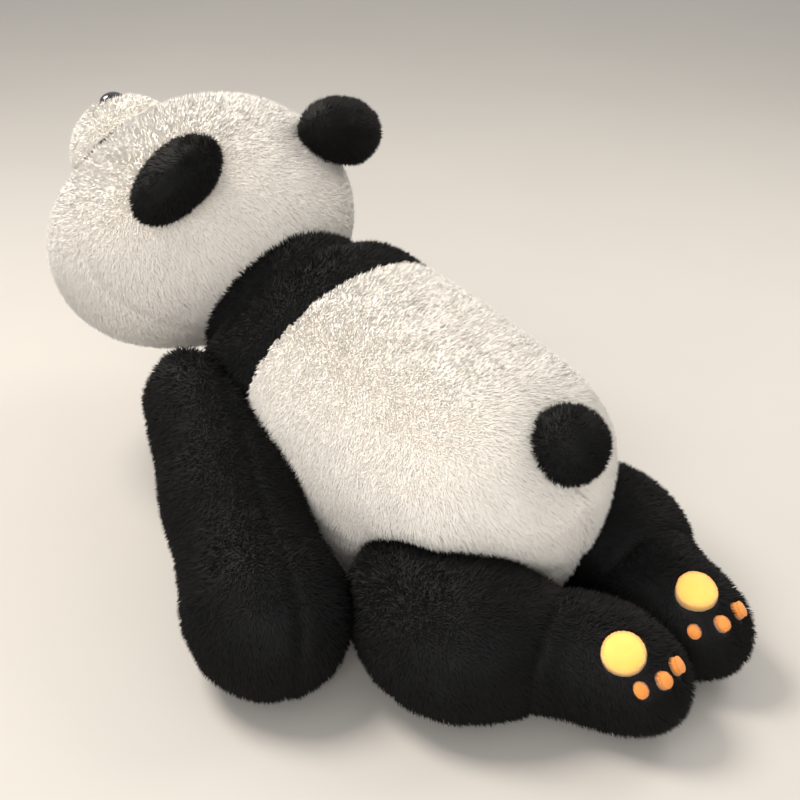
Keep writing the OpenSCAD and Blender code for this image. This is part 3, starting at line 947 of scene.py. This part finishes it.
# %% Moulded nose and eyes
def moulded_bead(name, node, material, features):
    points = vertex_array(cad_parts[node].data)
    centre, normal, across, _ = patch_frame(points)
    normal = normal if normal[2] > 0 else -normal
    across = np.array([1.0, 0.0, 0.0]) - normal[0] * normal
    across /= np.linalg.norm(across)
    drop = np.cross(normal, across)
    drop = drop if drop[2] < 0 else -drop
    base = centre + normal * ((points - centre) @ normal).min()
    half = [np.abs((points - base) @ d).max() for d in (across, drop, normal)]
    bm = bmesh.new()
    bmesh.ops.create_uvsphere(bm, u_segments=48, v_segments=32, radius=1)
    for vert in bm.verts:
        x, y, z = vert.co
        narrow = 1 - features * (0.30 * max(0.0, y) + 0.04 * (1 - y))
        nostril = features * sum(0.20 * math.exp(-(((x - side * 0.42) / 0.16) ** 2 + ((y - 0.38) / 0.13) ** 2))
                                 for side in (-1, 1))
        groove = features * 0.08 * math.exp(-(x / 0.09) ** 2) * max(0.0, y)
        height = max(z, -0.25) * (1 - (nostril + groove if z > 0 else 0))
        vert.co = Vector(base + across * (x * narrow * half[0]) + drop * (y * half[1] * 0.98)
                         + normal * (height * half[2]))
    bmesh.ops.recalc_face_normals(bm, faces=bm.faces)
    mesh = bpy.data.meshes.new(name)
    bm.to_mesh(mesh)
    bm.free()
    piece = bpy.data.objects.new(name, mesh)
    bpy.context.scene.collection.objects.link(piece)
    mesh.materials.append(material)
    for polygon in mesh.polygons:
        polygon.use_smooth = True
    return piece


def gloss(name, colour, roughness, ripple):
    def build(tree):
        where = spot(tree)
        smear = noise(tree, where, 160, 3)
        bump = tree.add("ShaderNodeBump", {}, {"Strength": ripple, "Distance": 0.0003, "Height": smear})
        return {"Base Color": tree.mix(smear, colour, tuple(c * 1.6 + 0.002 for c in colour)),
                "Roughness": smear * 0.08 + roughness, "Normal": bump}
    return finish_material(name, build, Coat_Weight=0.6, Coat_Roughness=0.06)


black_gloss = gloss("black moulded plastic", (0.006, 0.006, 0.007), 0.12, 0.08)
washer_plastic = gloss("washer plastic", (0.62, 0.62, 0.60), 0.5, 0.2)
for node, features in (("nose", 1), ("eye_left", 0), ("eye_right", 0)):
    bead = moulded_bead("moulded_" + node, node, black_gloss, features)
    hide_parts(node)
    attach(bead, "head")
    print(bead.name, len(bead.data.polygons), "faces")

# %% [markdown]
# ## Mouth
# The mouth is three satin-stitched lines that pull the pile down. Each CAD line gives its middle and its long
# direction; points are dropped from there on to the muzzle, and the same stitch tree lays thread across them.

# %% Mouth lines
def long_lines(node, skin, lift, count):
    """One row of (point, normal, across) for each solid of a thin long node."""
    tree = BVHTree.FromObject(skin, bpy.context.evaluated_depsgraph_get())
    rows = []
    for points in islands(node):
        centre, normal, u, v = patch_frame(points)
        span = (points - centre) @ u
        row = []
        for t in np.linspace(span.min(), span.max(), count):
            hit, at_normal, _, _ = tree.find_nearest(Vector(centre + 1.15 * t * u))
            row.append((hit + at_normal * lift, at_normal, Vector(v)))
        rows.append(row)
    return rows


mouth_rows = long_lines("mouth_stitch", skins["muzzle_skin"], 0.0052, 16)
mouth = stitched_rims("mouth_stitches", mouth_rows, 0.0009, 0.0042, 0.0016, black_thread, closed=False)
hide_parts("mouth_stitch")
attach(mouth, "head")
print("mouth stitches:", len(mouth.data.polygons), "faces")

# %% [markdown]
# ## What stays as it is
# The washers behind the eyes and the nose are right as CAD solids, so they keep their shape and only take a
# finish. Everything soft has been replaced.

# %% Finish the nodes that stay
for node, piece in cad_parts.items():
    if not piece.hide_render:
        piece.data.materials.clear()
        piece.data.materials.append(washer_plastic)
        print(node, "keeps its CAD shape")

# %% [markdown]
# ## Size
# The pile may stand a little outside the CAD box, and nothing else may. The CAD box was printed at the start;
# here the box of all that shows is printed less the CAD box, in millimetres.

# %% Write the sizes and finish
bpy.context.scene.view_settings.view_transform = "Standard"
seen_box = [list(map(float, corner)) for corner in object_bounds()]
grow_by = [[round((s - c) * 1000, 1) for s, c in zip(a, b)] for a, b in zip(seen_box, cad_box)]
print("visual box minus CAD box, mm:", grow_by)
